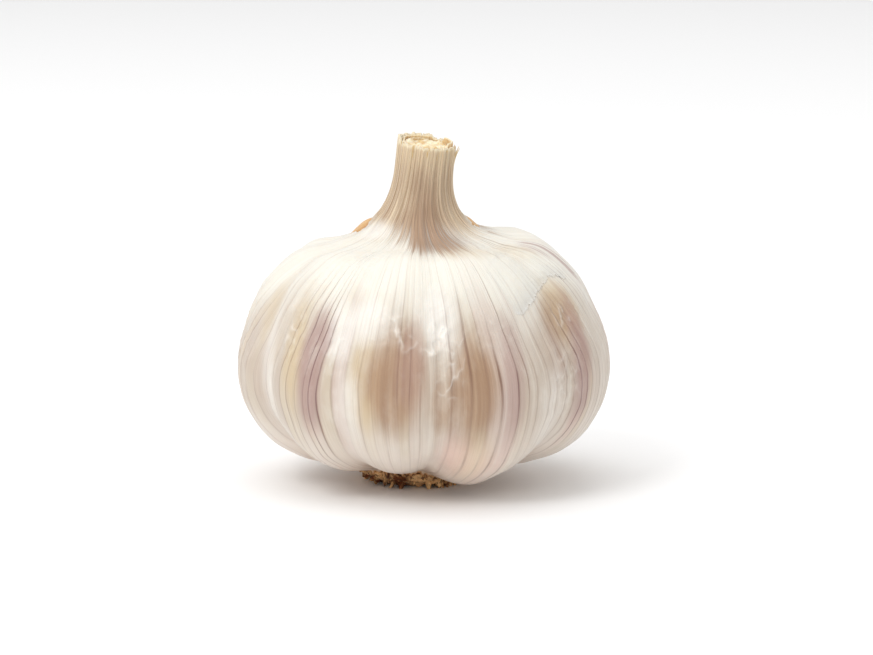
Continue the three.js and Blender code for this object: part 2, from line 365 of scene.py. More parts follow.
WHITE_PLACES = [
    (-58, 0.37, 6, 0.17, 0.6),
    (-24, 0.3, 6, 0.1, 0.6),
    (6, 0.47, 6, 0.06, 0.8),
    (43, 0.3, 8, 0.09, 0.5),
    (72, 0.38, 5, 0.14, 0.3),
    (-17, 0.465, 8, 0.04, 0.8),
    (-55, 0.735, 30, 0.045, 1.0),
    (-28, 0.45, 6, 0.06, 0.8),
    (110, 0.36, 6, 0.12, 0.7),
    (175, 0.38, 6, 0.12, 0.7),
    (232, 0.38, 7, 0.12, 0.8),
]
# Where the neck's foot is brown.
BROWN_PLACES = [
    (14, 0.69, 25, 0.08, 1.0),
    (2, 0.78, 34, 0.1, 0.7),
    (16, 0.87, 24, 0.08, 0.45),
    (-8, 0.92, 16, 0.05, 0.4),
    (110, 0.72, 22, 0.06, 0.6),
    (190, 0.7, 26, 0.06, 0.8),
    (262, 0.74, 18, 0.06, 0.5),
]

# The veins that stand out at the front: azimuth and strength. Behind, they are scattered.
FRONT_VEINS = [
    (-80, 0.4), (-76, 0.6), (-72, 0.4), (-67, 0.5), (-62, 0.4), (-55, 0.4), (-50, 0.6), (-46.5, 0.6),
    (-43, 0.7), (-39.5, 0.8), (-37.5, 1.0), (-35, 0.9), (-31, 0.4), (-26, 0.5), (-20, 0.45), (-16, 0.3),
    (-12, 0.5), (-8, 0.35), (-4, 0.4), (0, 0.45), (5, 0.3), (9.5, 0.8), (15.5, 0.75), (19.5, 0.5),
    (23, 1.0), (28.5, 1.0), (32.5, 0.5), (36, 0.4), (41, 0.5), (45, 0.45), (50, 0.5), (54, 0.5),
    (58, 1.0), (61, 0.8), (63.5, 0.5), (66, 0.6), (69, 0.7), (72, 0.6), (75, 0.8), (78, 0.6), (81, 0.6),
]
VEIN_SPACING = 4.2
scatter = np.random.default_rng(2)
BACK_VEINS = [(azimuth + scatter.uniform(-1.4, 1.4), scatter.uniform(0.15, 0.9))
              for azimuth in np.arange(84.5, 277, VEIN_SPACING)]
VEINS = np.array(FRONT_VEINS + BACK_VEINS)


def stained(azimuth, along, places):
    """Strength of the stains at each point, 0 to 1. A stain falls off as e to the minus third power
    of the distance from its middle, so that it has a flat middle and soft edges. Where stains
    overlap, what one leaves free the next may take."""
    free = np.ones(np.shape(azimuth))
    for middle, level, wide, long, strength in places:
        apart = (degrees_apart(azimuth, middle) / wide) ** 2 + ((along - level) / long) ** 2
        free *= 1 - strength * np.exp(-(apart**1.5))
    return 1 - free


def gathered(azimuth, along):
    """The azimuth where a vein at this place crosses the belly: above it the leaf is gathered, and its
    veins draw together towards the front, most at the sides."""
    most = 22
    return azimuth + most * np.sin(np.radians(azimuth)) * smoothstep(along, 0.32, 0.64)


def lane_at(azimuth):
    """The number of veins to the left of an azimuth between -180 and 180, with its fraction, and the
    strength of the veins there."""
    order = np.argsort(degrees_apart(VEINS[:, 0], 0))
    at, strength = degrees_apart(VEINS[order, 0], 0), VEINS[order, 1]
    at = np.concatenate([[-180.0], at, [180.0]])
    strength = np.concatenate([[0.5], strength, [0.5]])
    return np.interp(azimuth, at, np.arange(len(at))), np.interp(azimuth, at, strength)


def leaf_attributes(azimuth, along):
    """What the leaf's finish reads at each point: a place on a tube of the head's width, on which
    lengthwise patterns are drawn; how far along and how deep in a valley it is; the strength of each
    kind of stain, of the folds, and of the veins beside it."""
    tube_radius, tube_length = 32.0, 95.0
    crossing = gathered(degrees_apart(azimuth, 0), along)
    angle = np.radians(crossing)
    wrap = np.stack([tube_radius * np.sin(angle), -tube_radius * np.cos(angle), tube_length * along], -1)
    return [
        ("wrap", wrap),
        ("along", along),
        ("valley", cloves_at(azimuth)[0]),
        ("thin", stained(azimuth, along, THIN_PLACES)),
        ("mauve", stained(azimuth, along, MAUVE_PLACES)),
        ("straw", stained(azimuth, along, STRAW_PLACES)),
        ("white", stained(azimuth, along, WHITE_PLACES)),
        ("brown", stained(azimuth, along, BROWN_PLACES)),
        ("crumpled", crumpled(azimuth, along)),
        ("vein", lane_at(crossing)[1]),
    ]


def head_rings():
    """Rings of the head from the seat of the root plate, over the skin and the ragged cut, and down
    into the neck's socket, with the azimuth and the share of the way along of each point. The cut is
    torn higher at the back left, and its leaf is bent down at the right."""
    azimuth = np.arange(HEAD_SLICES) * 360 / HEAD_SLICES - 180
    along = np.linspace(0, 1, HEAD_RINGS + 1)
    azimuth, along = np.meshgrid(azimuth, along)
    skin = skin_point(azimuth, along, relief(azimuth, along))
    ragged = RIM_RAGGED * strands(azimuth, (13, 22, 31, 46, 62), 21)
    torn_high = RIM_TORN_HIGH * (1 - smoothstep(np.abs(degrees_apart(azimuth, 214)), 46, 50))
    bent_low = RIM_BENT_LOW * (1 - smoothstep(np.abs(degrees_apart(azimuth, 92)), 18, 24))
    skin[..., 2] += (ragged + torn_high - bent_low) * smoothstep(along, 0.93, 1)
    torn = ROOT_RIM_TORN * strands(azimuth, (11, 19, 29, 37), 22) * (1 - smoothstep(along, 0, 0.05))
    angle = np.radians(azimuth)
    outward = np.stack([np.sin(angle), -np.cos(angle), np.zeros(angle.shape)], -1)
    skin += torn[..., None] * outward

    middle = np.array([NECK_LEAN, 0, 0]) + (0, 0, SOCKET_FLOOR)
    rim = skin[-1] - RIM_WALL * outward[-1]
    floor = middle + (NECK_RADIUS - 2 * RIM_WALL) * outward[-1]
    seat = SEAT_RADIUS * outward[0] + (0, 0, SEAT_HEIGHT)
    inside = [rim, (2 * rim + floor) / 3, (rim + 2 * floor) / 3, floor, (floor + middle) / 2]
    rings = np.concatenate([seat[None], skin, np.stack(inside)])
    before, after = 1, len(inside)
    azimuth = np.pad(azimuth, ((before, after), (0, 0)), "edge")
    along = np.pad(along, ((before, after), (0, 0)), "edge")
    return rings, azimuth, along


class Wire:
    """One output of a finish's nodes. Arithmetic on it adds Math nodes."""

    def __init__(self, finish, socket):
        self.finish, self.socket = finish, socket

    def math(self, operation, *others, clamp=False):
        """This value and the others through one Math node, held between 0 and 1 by `clamp`."""
        values = dict(enumerate((self, *others)))
        return self.finish.node("ShaderNodeMath", {"operation": operation, "use_clamp": clamp}, values)

    def __add__(self, other):
        return self.math("ADD", other)

    def __sub__(self, other):
        return self.math("SUBTRACT", other)

    def __rsub__(self, other):
        return self.finish.node("ShaderNodeMath", {"operation": "SUBTRACT"}, {0: other, 1: self})

    def __mul__(self, other):
        return self.math("MULTIPLY", other)

    def __pow__(self, other):
        return self.math("POWER", other)

    def __abs__(self):
        return self.math("ABSOLUTE")

    __radd__ = __add__
    __rmul__ = __mul__

    def clamped(self):
        return self.math("ADD", 0.0, clamp=True)

    def step(self, low, high):
        """0 at `low`, 1 at `high`, and an S-curve between; `low` may be the greater."""
        ends = {"From Min": low, "From Max": high, "Value": self}
        return self.finish.node("ShaderNodeMapRange", {"interpolation_type": "SMOOTHSTEP"}, ends)


class Finish:
    """A material, and the one way to add a node to it."""

    def __init__(self, name):
        self.material = bpy.data.materials.new(name)
        self.material.use_nodes = True
        self.tree = self.material.node_tree
        self.tree.nodes.clear()

    def node(self, kind, settings=None, sockets=None, output=0):
        """Adds a node: its settings first, then its sockets' values or links. Gives one output."""
        node = self.tree.nodes.new(kind)
        for name, value in (settings or {}).items():
            setattr(node, name, value)
        for name, value in (sockets or {}).items():
            if isinstance(value, Wire):
                self.tree.links.new(value.socket, node.inputs[name])
            else:
                node.inputs[name].default_value = value
        return Wire(self, node.outputs[output]) if node.outputs else None

    def attribute(self, name, output="Fac"):
        """A named attribute of the mesh, as a number or, from its "Vector" output, as a place."""
        return self.node("ShaderNodeAttribute", {"attribute_name": name}, output=output)

    def mix(self, factor, first, second):
        """`first` where the factor is 0, and `second` where it is 1."""
        sockets = {0: factor, 6: first, 7: second}
        return self.node("ShaderNodeMix", {"data_type": "RGBA"}, sockets, output=2)

    def stretched(self, place, stretch, shift=(0, 0, 0)):
        """A place's coordinates, each times its own number, and then shifted."""
        settings = {"operation": "MULTIPLY_ADD"}
        return self.node("ShaderNodeVectorMath", settings, {0: place, 1: stretch, 2: shift})

    def noise(self, place, scale, detail=2.0, roughness=0.5):
        """Clouds from 0 to 1, `scale` of them to a unit of `place`, with finer ones laid over them."""
        sockets = {"Vector": place, "Scale": scale, "Detail": detail, "Roughness": roughness}
        return self.node("ShaderNodeTexNoise", None, sockets)

    def scattered(self, number, salt):
        """A number between 0 and 1 that has nothing to do with its neighbours'."""
        return self.node("ShaderNodeTexWhiteNoise", {"noise_dimensions": "1D"}, {"W": number + salt})

    def bump(self, height, distance, strength):
        """The normal of a surface on which a height of 1 stands `distance` metres out."""
        sockets = {"Height": height, "Distance": distance, "Strength": strength}
        return self.node("ShaderNodeBump", None, sockets)

    def surface(self, **sockets):
        """Ends the tree in a Principled shader; a socket's name is written with _ for its spaces."""
        named = {name.replace("_", " "): value for name, value in sockets.items()}
        shader = self.node("ShaderNodeBsdfPrincipled", None, named)
        self.node("ShaderNodeOutputMaterial", None, {"Surface": shader})
        return self.material


def paint(red, green, blue):
    """A colour given as it looks on a screen, 0 to 255, turned into the light that it reflects."""
    def linear(value):
        """One of the three, from the screen's curve to a share of the light."""
        part = value / 255
        return part / 12.92 if part <= 0.04045 else ((part + 0.055) / 1.055) ** 2.4
    return (*map(linear, (red, green, blue)), 1.0)


# The leaf's colours. "Below" is for the cloves' undersides.
PAPER_BELOW, PAPER_ABOVE = paint(238, 228, 218), paint(232, 228, 217)
# The belly's grey is painted shade.
BELLY_SHADE_GREY, WIDEST_TAN = paint(197, 184, 169), paint(170, 148, 126)
LANE_STRAW, LANE_MAUVE = paint(216, 202, 174), paint(208, 184, 174)
DARK_STREAK, PALE_STREAK = paint(184, 162, 143), paint(238, 231, 218)
STRAW_ABOVE, STRAW_BELOW = paint(206, 184, 148), paint(230, 204, 174)
MAUVE_ABOVE, MAUVE_BELOW = paint(168, 134, 128), paint(222, 188, 178)
CLOVE_TAN, CLOVE_BROWN = paint(178, 145, 114), paint(155, 118, 87)
LOOSE_WHITE_AND_HIGHLIGHT, FILM = paint(240, 236, 229), paint(232, 226, 214)
ROOT_TAN, ROOT_CREAM, ROOT_STREAK = paint(204, 170, 140), paint(228, 206, 188), paint(178, 132, 96)
NECK_BROWN, NECK_CREAM, NECK_FIBRE = paint(164, 130, 96), paint(226, 206, 174), paint(150, 114, 82)
CUT_STRAW, CUT_EDGE = paint(238, 216, 178), paint(244, 230, 200)
FOOT_DARK, FOOT_LIGHT = paint(104, 72, 50), paint(170, 136, 108)
VEIN_SHADE, MAUVE_VEIN_SHADE = paint(176, 140, 118), paint(140, 102, 104)
VEIN_LINE, MAUVE_VEIN_LINE = paint(112, 74, 50), paint(98, 56, 62)
FINE_FIBRE, PLEAT_LINE, VALLEY_SHADE = paint(160, 138, 120), paint(124, 98, 78), paint(186, 168, 155)
# The creases' near white is a painted highlight.
CREASE_HIGHLIGHT, TORN_BROWN = paint(250, 246, 238), paint(150, 106, 70)


def papery_leaf():
    """Dried garlic leaf. Lengthwise lanes between the veins have tints of their own; a vein is a thin
    dark line between two lanes; stains, thin places and the neck's straw colour are laid over them;
    fine fibres stand out as bumps."""
    leaf = Finish("papery_leaf")
    wrap = leaf.attribute("wrap", "Vector")
    along, valley = leaf.attribute("along"), leaf.attribute("valley")

    # Noises drawn out lengthwise, from broad clouds to fine fibres.
    clouds = leaf.noise(leaf.stretched(wrap, (1, 1, 0.5)), 0.11, 3.0, 0.55)
    film = leaf.noise(leaf.stretched(wrap, (1, 1, 0.4), (9, 4, 2)), 0.24, 4.0, 0.6)
    streaks = leaf.noise(leaf.stretched(wrap, (1, 1, 0.03)), 0.8, 4.0, 0.62)
    fibres = leaf.noise(leaf.stretched(wrap, (1, 1, 0.012)), 4.2, 3.0, 0.6)
    ragged = (streaks - 0.5) * 0.35 + (clouds - 0.5) * 0.5 + (film - 0.5) * 0.5

    # Lanes and veins: `first` and `second` are numbers of each lane's own.
    wandering = (leaf.noise(leaf.stretched(wrap, (1, 1, 0.25)), 0.1, 2.0) - 0.5) * 1.6
    lane = leaf.attribute("lane") + wandering
    number = lane.math("FLOOR")
    edge = abs(lane - number - 0.5)
    first, second = leaf.scattered(number, 0.3), leaf.scattered(number, 40.7)

    def stain(name, colour, tint, strength):
        """Lays a tint where an attribute, made ragged by the noises, is strong."""
        field = leaf.attribute(name)
        return leaf.mix((field + ragged).step(0.1, 0.95) * field.step(0.0, 0.3) * strength, colour, tint)

    # The belly of the cloves: greyer than the shoulders, which is painted shade for the dimmer light low
    # on the head, with lanes and streaks.
    above_root = (along + (clouds - 0.5) * 0.1).step(0.14, 0.3)
    belly = above_root * (along + (clouds - 0.5) * 0.14).step(0.54, 0.42)
    colour = leaf.mix(along.step(0.36, 0.52), PAPER_BELOW, PAPER_ABOVE)
    # Painted shade: the belly greyer, for the dimmer light low on the head.
    colour = leaf.mix(belly * 0.8, colour, BELLY_SHADE_GREY)
    widest = along.step(0.24, 0.32) * along.step(0.43, 0.36)
    colour = leaf.mix(widest * 0.3, colour, WIDEST_TAN)
    tint = leaf.mix(first.step(0.3, 0.9), LANE_STRAW, LANE_MAUVE)
    colour = leaf.mix((0.06 + 0.4 * belly) * second.step(0.2, 1.0), colour, tint)
    colour = leaf.mix((0.12 + 0.3 * belly) * streaks.step(0.5, 0.8), colour, DARK_STREAK)
    colour = leaf.mix(0.4 * streaks.step(0.5, 0.2), colour, PALE_STREAK)

    # Stains, and a film over them that is patchy and thinner where the leaf clings to a clove.
    low = along.step(0.3, 0.22)
    colour = stain("straw", colour, leaf.mix(low, STRAW_ABOVE, STRAW_BELOW), 0.75)
    # White where the leaf lies loose; in the valleys it is partly a painted highlight.
    colour = stain("white", colour, LOOSE_WHITE_AND_HIGHLIGHT, 0.85)
    colour = stain("thin", colour, leaf.mix(streaks.step(0.3, 0.7), CLOVE_TAN, CLOVE_BROWN), 0.9)
    streaky = (streaks.step(0.44, 0.56) + along.step(0.52, 0.44)).clamped()
    colour = stain("mauve", colour, leaf.mix(low, MAUVE_ABOVE, MAUVE_BELOW), 0.12 + 0.63 * streaky)
    filmy = belly * film.step(0.5, 0.8) * (0.5 - 0.35 * leaf.attribute("thin"))
    colour = leaf.mix(filmy, colour, FILM)
    colour = leaf.mix(along.step(0.24, 0.06) * 0.6, colour, leaf.mix(streaks, ROOT_TAN, ROOT_CREAM))
    colour = leaf.mix(streaks.step(0.46, 0.62) * along.step(0.17, 0.08) * 0.55, colour, ROOT_STREAK)

    # The neck: straw with brown fibres, browner at its foot, where its strands run out in points.
    brown = leaf.attribute("brown")
    level = along + (fibres - 0.5) * 0.14 + (streaks - 0.5) * 0.16
    ends = level.step(0.66, 0.78) * (1 - 0.75 * leaf.attribute("white"))
    straw = leaf.mix(streaks.step(0.35, 0.62), NECK_BROWN, NECK_CREAM)
    straw = leaf.mix(fibres.step(0.48, 0.62) * 0.75, straw, NECK_FIBRE)
    colour = leaf.mix(ends * 0.92, colour, straw)
    colour = leaf.mix((along + (streaks - 0.5) * 0.08).step(0.93, 1.0) * 0.45, colour, CUT_STRAW)
    colour = leaf.mix((along + (fibres - 0.5) * 0.01).step(0.988, 0.998) * 0.8, colour, CUT_EDGE)
    dark = leaf.mix(streaks.step(0.36, 0.62), FOOT_DARK, FOOT_LIGHT)
    points = brown * 0.85 + (fibres - 0.5) * 1.2 + (streaks - 0.5) * 1.6
    colour = leaf.mix(points.step(0.0, 0.9) * brown.step(0.0, 0.3) * 0.92, colour, dark)

    # Veins, darkest over the cloves, and purple where the leaf is mauve.
    mauve, vein = leaf.attribute("mauve"), leaf.attribute("vein")
    broken = leaf.noise(leaf.stretched(wrap, (1, 1, 0.3)), 0.22, 3.0).step(0.3, 0.7)
    faint = 0.08 + 0.92 * (along + (first - 0.5) * 0.16 + (clouds - 0.5) * 0.2).step(0.55, 0.4)
    strong = vein * (0.2 + 0.85 * broken) * faint * (0.75 + 0.45 * mauve)
    strong = strong * (0.45 + 0.55 * along.step(0.14, 0.36))
    line = edge.step(0.385, 0.488)
    shade = leaf.mix(mauve, VEIN_SHADE, MAUVE_VEIN_SHADE)
    colour = leaf.mix(edge.step(0.22, 0.5) * strong * 0.3, colour, shade)
    dark = leaf.mix(mauve.step(0.2, 1.0), VEIN_LINE, MAUVE_VEIN_LINE)
    colour = leaf.mix((line * strong).clamped(), colour, dark)
    colour = leaf.mix(fibres.step(0.48, 0.7) * (0.1 + 0.12 * belly), colour, FINE_FIBRE)
    runs = (along + (fibres - 0.5) * 0.1).step(0.56, 0.64) * along.step(0.74, 0.66)
    colour = leaf.mix(streaks.step(0.57, 0.66) * runs * 0.5, colour, PLEAT_LINE)
    colour = leaf.mix(valley.step(0.5, 1.0) * 0.2, colour, VALLEY_SHADE)

    # Sharp creases where it is crumpled, with a painted highlight along them, and the torn rim round the
    # roots.
    place = leaf.node("ShaderNodeTexCoord", output="Object")
    patchy = leaf.noise(place, 300.0, 2.0).step(0.36, 0.58)
    wrinkled = leaf.noise(leaf.stretched(place, (1, 1, 0.6), (3, 1, 2)), 430.0, 1.0, 0.5)
    wrinkle = 1 - abs(wrinkled - 0.5) * 7
    crease = wrinkle.clamped() * (leaf.attribute("crumpled") * 4).clamped() * patchy
    # A painted highlight, near white, along the creases.
    colour = leaf.mix(crease ** 2 * 0.55, colour, CREASE_HIGHLIGHT)
    torn = (along + (streaks - 0.5) * 0.03).step(0.02, 0.0)
    colour = leaf.mix(torn * 0.8, colour, TORN_BROWN)

    height = 0.55 * fibres + 0.35 * streaks + 0.5 * line * vein + 1.4 * crease
    return leaf.surface(
        Base_Color=colour, Roughness=0.36 + 0.2 * film + 0.14 * ends,
        Normal=leaf.bump(height, distance=0.00018, strength=0.7),
        Subsurface_Weight=0.2, Subsurface_Radius=(1.0, 0.8, 0.65), Subsurface_Scale=0.0012,
        Coat_Weight=0.15, Coat_Roughness=0.25, Sheen_Weight=0.1, Sheen_Roughness=0.4,
    )


rings, azimuth, along = head_rings()
head = turned_piece("papery_head", rings, leaf_attributes(azimuth, along), along)
head.data.materials.append(papery_leaf())
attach(head, "root")
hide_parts("wrapped_bulb")

# ---------------------------------------------------------------- torn outer leaves
# The outermost leaf has split and torn away in places. What is left of it lies over the next leaf,
# with a ragged free edge that curls a little off the head and the same veins running through it.


def closed_sheet(name, outer, inner, attributes=(), wraps=False):
    """A thin closed skin between two grids of places of (rows, columns, 3), joined round their rims.
    `outer` faces outwards where its columns run with the azimuth and its rows upwards. If it `wraps`,
    the last column is joined to the first. On the UV map the two sides lie next to each other, and
    the rims are a strip above them."""
    rows, columns = outer.shape[:2]
    spans = columns if wraps else columns - 1
    half = rows * columns
    row, column = np.meshgrid(np.arange(rows - 1), np.arange(spans), indexing="ij")
    row, column = row.ravel(), column.ravel()
    corner_row = np.stack([row, row, row + 1, row + 1], -1)
    corner_column = np.stack([column, column + 1, column + 1, column], -1)
    quads = corner_row * columns + corner_column % columns
    spots = np.stack([0.49 * corner_column / spans, 0.94 * corner_row / (rows - 1)], -1)
    grid = np.arange(half).reshape(rows, columns)
    rims = [grid[0], grid[-1, ::-1]] if wraps else [
        np.concatenate([grid[0, :-1], grid[:-1, -1], grid[-1, :0:-1], grid[:0:-1, 0]])
    ]
    rim = np.concatenate(rims)
    onward = np.concatenate([np.roll(part, -1) for part in rims])
    walls = np.stack([onward, rim, rim + half, onward + half], -1)
    share = np.arange(len(rim)) / len(rim)
    ahead = share + 1 / len(rim)
    low, high = np.full(len(rim), 0.96), np.full(len(rim), 1.0)
    strip = np.stack([ahead, low, share, low, share, high, ahead, high], -1).reshape(-1, 4, 2)
    faces = np.concatenate([quads, quads[:, ::-1] + half, walls])
    uv = np.concatenate([spots, spots[:, ::-1] + (0.51, 0), strip])
    places = np.concatenate([outer.reshape(-1, 3), inner.reshape(-1, 3)])
    doubled = [(title, np.concatenate([values.reshape(half, *values.shape[2:])] * 2))
               for title, values in attributes]
    return mesh_piece(name, places, faces.tolist(), uv, doubled)


# In millimetres, but for the free edge's raggedness, in `along`, and the sunk sides' share of the width.
LEAF_EDGE, LEAF_ROOT = 0.08, 0.5
LEAF_STAND, LEAF_BURIED = 0.05, 0.2
RAGGED_EDGE, SIDE_SHARE = 0.0014, 0.14


def torn_leaf(name, free, held, curl, seed):
    """What is left of a torn leaf. `free` and `held` are lists of (azimuth, along), from the smaller
    azimuth to the greater: its free edge, and the line where it meets the head again, above it or
    below. The free edge is ragged and stands off by `curl` millimetres; the other sides sink into the
    head, and away from the edge the sheet's inner side is buried."""
    columns, rows = 260, 60
    across = np.linspace(0, 1, columns)
    free, held = spline(np.array(free), across), spline(np.array(held), across)
    scatter = np.random.default_rng(seed)
    ragged = sum(scatter.normal() * np.sin(across * step * 9 + scatter.uniform(0, 6)) / step**0.5
                 for step in range(2, 30))
    free[:, 1] += RAGGED_EDGE * ragged
    up = np.linspace(0, 1, rows)[:, None, None] ** 1.5
    azimuth, along = np.moveaxis(free + up * (held - free), -1, 0)
    up = up[..., 0]
    wavy = 1 + 0.6 * np.sin(across * 19 + seed) * np.sin(across * 7.3)
    stands = LEAF_STAND + curl * wavy * np.exp(-up / 0.1)
    sides = np.maximum(1 - across / SIDE_SHARE, (across - 1 + SIDE_SHARE) / SIDE_SHARE)
    sinks = np.clip(np.maximum(smoothstep(up, 0.5, 1.0), sides), 0, 1)
    stands = stands * (1 - sinks) - LEAF_BURIED * sinks
    paper = LEAF_EDGE + LEAF_ROOT * smoothstep(up, 0.03, 0.3)
    near = relief(azimuth, along)
    outer = skin_point(azimuth, along, near + stands)
    inner = skin_point(azimuth, along, near + stands - paper)
    crossing = gathered(degrees_apart(azimuth, 0), along)
    attributes = [*leaf_attributes(azimuth, along), ("lane", lane_at(crossing)[0])]
    # The free edge is paler: partly the thin film's own colour, partly a painted highlight along it.
    pale = 0.6 * np.exp(-up / 0.06)
    attributes = [(title, np.maximum(values, pale) if title == "white" else values)
                  for title, values in attributes]
    if held[:, 1].mean() < free[:, 1].mean():
        outer, inner = outer[::-1], inner[::-1]
        attributes = [(title, values[::-1]) for title, values in attributes]
    sheet = closed_sheet(name, outer, inner, attributes)
    sheet.data.materials.append(bpy.data.materials["papery_leaf"])
    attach(sheet, "root")


torn_leaf(
    "torn_leaf_right",
    [(26, 0.464), (34, 0.472), (41, 0.488), (46, 0.5), (51, 0.514), (56, 0.521), (60, 0.519),
     (65, 0.514), (70, 0.516)],
    [(18, 0.56), (34, 0.63), (48, 0.655), (62, 0.65), (74, 0.6)],
    0.05, 3,
)
torn_leaf(
    "torn_leaf_back",
    [(150, 0.5), (158, 0.44), (166, 0.37), (171, 0.34), (174, 0.36)],
    [(140, 0.6), (150, 0.64), (160, 0.66), (170, 0.66), (178, 0.62)],
    0.2, 8,
)
torn_leaf(
    "torn_leaf_left",
    [(212, 0.53), (220, 0.47), (229, 0.42), (238, 0.45), (247, 0.5), (252, 0.55)],
    [(205, 0.6), (216, 0.64), (228, 0.66), (240, 0.66), (256, 0.63)],
    0.2, 12,
)

# ---------------------------------------------------------------- inside the cut neck
# The neck was cut across, so its rolled leaf bases show as rings: dry, straw coloured and frayed, the
# inner one standing higher at the back where the blade left it, round the stalk's spongy cream pith.


ROLL_START, ROLL_GAP, FRAYED_EDGE = 40, 0.14, 0.07


def rolled_leaf(name, radius, wall, turns, foot, height, seed):
    """A leaf base rolled into a tube: its radius shrinks by a wall and a gap with each turn, and its
    ragged top edge follows `height`, a function of the azimuth in degrees, above the plain cut."""
    columns, rows = 240, 26
    turn = np.linspace(0, turns * 360, columns) + ROLL_START
    up = np.linspace(0, 1, rows)[:, None]
    scatter = np.random.default_rng(seed)
    frayed = sum(scatter.normal() * np.cos(np.radians(turn) * waves + scatter.uniform(0, 6)) / waves**0.5
                 for waves in range(4, 40, 3))
    top = NECK_TOP + cut_slant(turn) + height(turn) + FRAYED_EDGE * frayed
    angle = np.radians(turn)
    around = radius - (wall + ROLL_GAP) * (turn - turn[0]) / 360 + 0.05 * np.sin(angle * 5 + seed)
    level = foot + up * (top - foot)
    ribs = 0.04 * np.cos(angle * 31 + 2 * up)

    def side(inset):
        """The tube's wall, this far inwards from its outside."""
        reach = around - inset + ribs
        return np.stack([reach * np.sin(angle) + NECK_LEAN, -reach * np.cos(angle), level + 0 * reach], -1)

    spot = np.broadcast_to(turn, level.shape)
    tube = np.stack([6 * np.sin(np.radians(spot)), -6 * np.cos(np.radians(spot)), level], -1)
    return closed_sheet(name, side(0), side(wall), [("wrap", tube), ("height", up * np.ones(columns))])


SHEATH_BROWN, SHEATH_CREAM = paint(204, 166, 112), paint(236, 212, 170)
FRAYED_CREAM = paint(244, 230, 202)


def straw_leaf():
    """Dry straw-coloured leaf base: lengthwise streaks of brown and cream, paler at the cut."""
    leaf = Finish("straw_leaf")
    wrap, height = leaf.attribute("wrap", "Vector"), leaf.attribute("height")
    streaks = leaf.noise(leaf.stretched(wrap, (1, 1, 0.12)), 1.8, 4.0, 0.6)
    colour = leaf.mix(streaks.step(0.35, 0.7), SHEATH_BROWN, SHEATH_CREAM)
    colour = leaf.mix(height.step(0.93, 1.0) * 0.7, colour, FRAYED_CREAM)
    return leaf.surface(
        Base_Color=colour, Roughness=0.6 + 0.2 * streaks,
        Normal=leaf.bump(streaks, distance=0.00012, strength=0.7), Subsurface_Weight=0.25,
        Subsurface_Radius=(1.0, 0.7, 0.4), Subsurface_Scale=0.001, Sheen_Weight=0.15,
    )


def standing(turn):
    """The sheath's height above the plain cut: raised at the right, where the leaf outside it is bent
    down, and at the back left, where that leaf is torn high."""
    right = 1 - smoothstep(np.abs(degrees_apart(turn, 95)), 36, 46)
    behind = 1 - smoothstep(np.abs(degrees_apart(turn, 212)), 42, 48)
    return 0.8 * right + 0.45 * behind - 0.1


def sunk(turn):
    """The liner's height above the plain cut: a little below it, in two waves."""
    return 0.2 * np.sin(np.radians(2 * turn)) - 0.25


straw = straw_leaf()
sheath = rolled_leaf("rolled_sheath", 4.42, 0.25, 1.0, 55.6, standing, 5)
sheath.data.materials.append(straw)
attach(sheath, "root")
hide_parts("inner_sheath")

liner = rolled_leaf("sheath_liner", 4.0, 0.2, 1.15, 55.8, sunk, 9)
liner.data.materials.append(straw)
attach(liner, "root")


def pith_rings():
    """The pith's rings, from its foot up its side and over its torn top, which is lumpy, sunk at the
    back left and drawn up into fibres at the right. Noise of three sizes roughens it."""
    radius, foot, top = 3.6, 55.9, NECK_TOP - 0.3
    azimuth = np.arange(96) * 360 / 96 - 180
    inward = np.linspace(1, 0.02, 26)
    side = np.linspace(0, 1, 12)[:-1]
    reach = radius * np.concatenate([np.full(len(side), 1.0), inward])
    level = np.concatenate([foot + side * (top - foot), np.full(len(inward), top)])
    azimuth, reach = np.meshgrid(azimuth, reach)
    level = np.broadcast_to(level[:, None], reach.shape)
    angle = np.radians(azimuth)
    places = np.stack([reach * np.sin(angle) + NECK_LEAN, -reach * np.cos(angle), level], -1)
    on_top = smoothstep(level, foot, top) ** 4
    rough = 0.22 * ripples(places, 2.4, 31) + 0.12 * ripples(places, 1.1, 32)
    rough += 0.06 * ripples(places, 0.5, 33)
    right, back = places[..., 0] - NECK_LEAN, places[..., 1]
    hollow = 0.9 * np.exp(-(((right + 1.0) / 1.3) ** 2 + ((back - 1.4) / 1.2) ** 2))
    fibres = 0.35 * smoothstep(right, 0.6, 2.4) * np.maximum(0, ripples(places, 0.8, 34))
    places[..., 2] += on_top * (rough - hollow + fibres + cut_slant(azimuth) * reach / radius)
    return places


PITH_TAN, PITH_CREAM, CELL_BROWN = paint(218, 190, 144), paint(240, 228, 200), paint(196, 152, 96)


def spongy_pith():
    """Cream pith, tan in its hollows and pitted with small cells."""
    pith = Finish("spongy_pith")
    place = pith.node("ShaderNodeTexCoord", output="Object")
    cells = pith.noise(place, 1400.0, 3.0, 0.6)
    blotch = pith.noise(place, 420.0, 2.0)
    colour = pith.mix(blotch.step(0.35, 0.6), PITH_TAN, PITH_CREAM)
    colour = pith.mix(cells.step(0.5, 0.3) * 0.5, colour, CELL_BROWN)
    return pith.surface(
        Base_Color=colour, Roughness=0.85,
        Normal=pith.bump(cells, distance=0.0002, strength=0.9), Subsurface_Weight=0.3,
        Subsurface_Radius=(1.0, 0.7, 0.4), Subsurface_Scale=0.001, Specular_IOR_Level=0.25,
    )


pith = turned_piece("spongy_pith", pith_rings())
pith.data.materials.append(spongy_pith())
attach(pith, "root")
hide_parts("stalk_pith")


# ---------------------------------------------------------------- splinters of the neck
# Strands of dry leaf that came loose when the neck was cut: one is splayed out at the right, and
# short frayed ends stand round the rim.


LOW_FAN_UV, HIGH_FAN_UV = [[0.1, 0.0], [0.2, 0.0], [0.15, 0.02]], [[0.1, 0.98], [0.2, 0.98], [0.15, 1.0]]
UV_MARGIN = 0.94


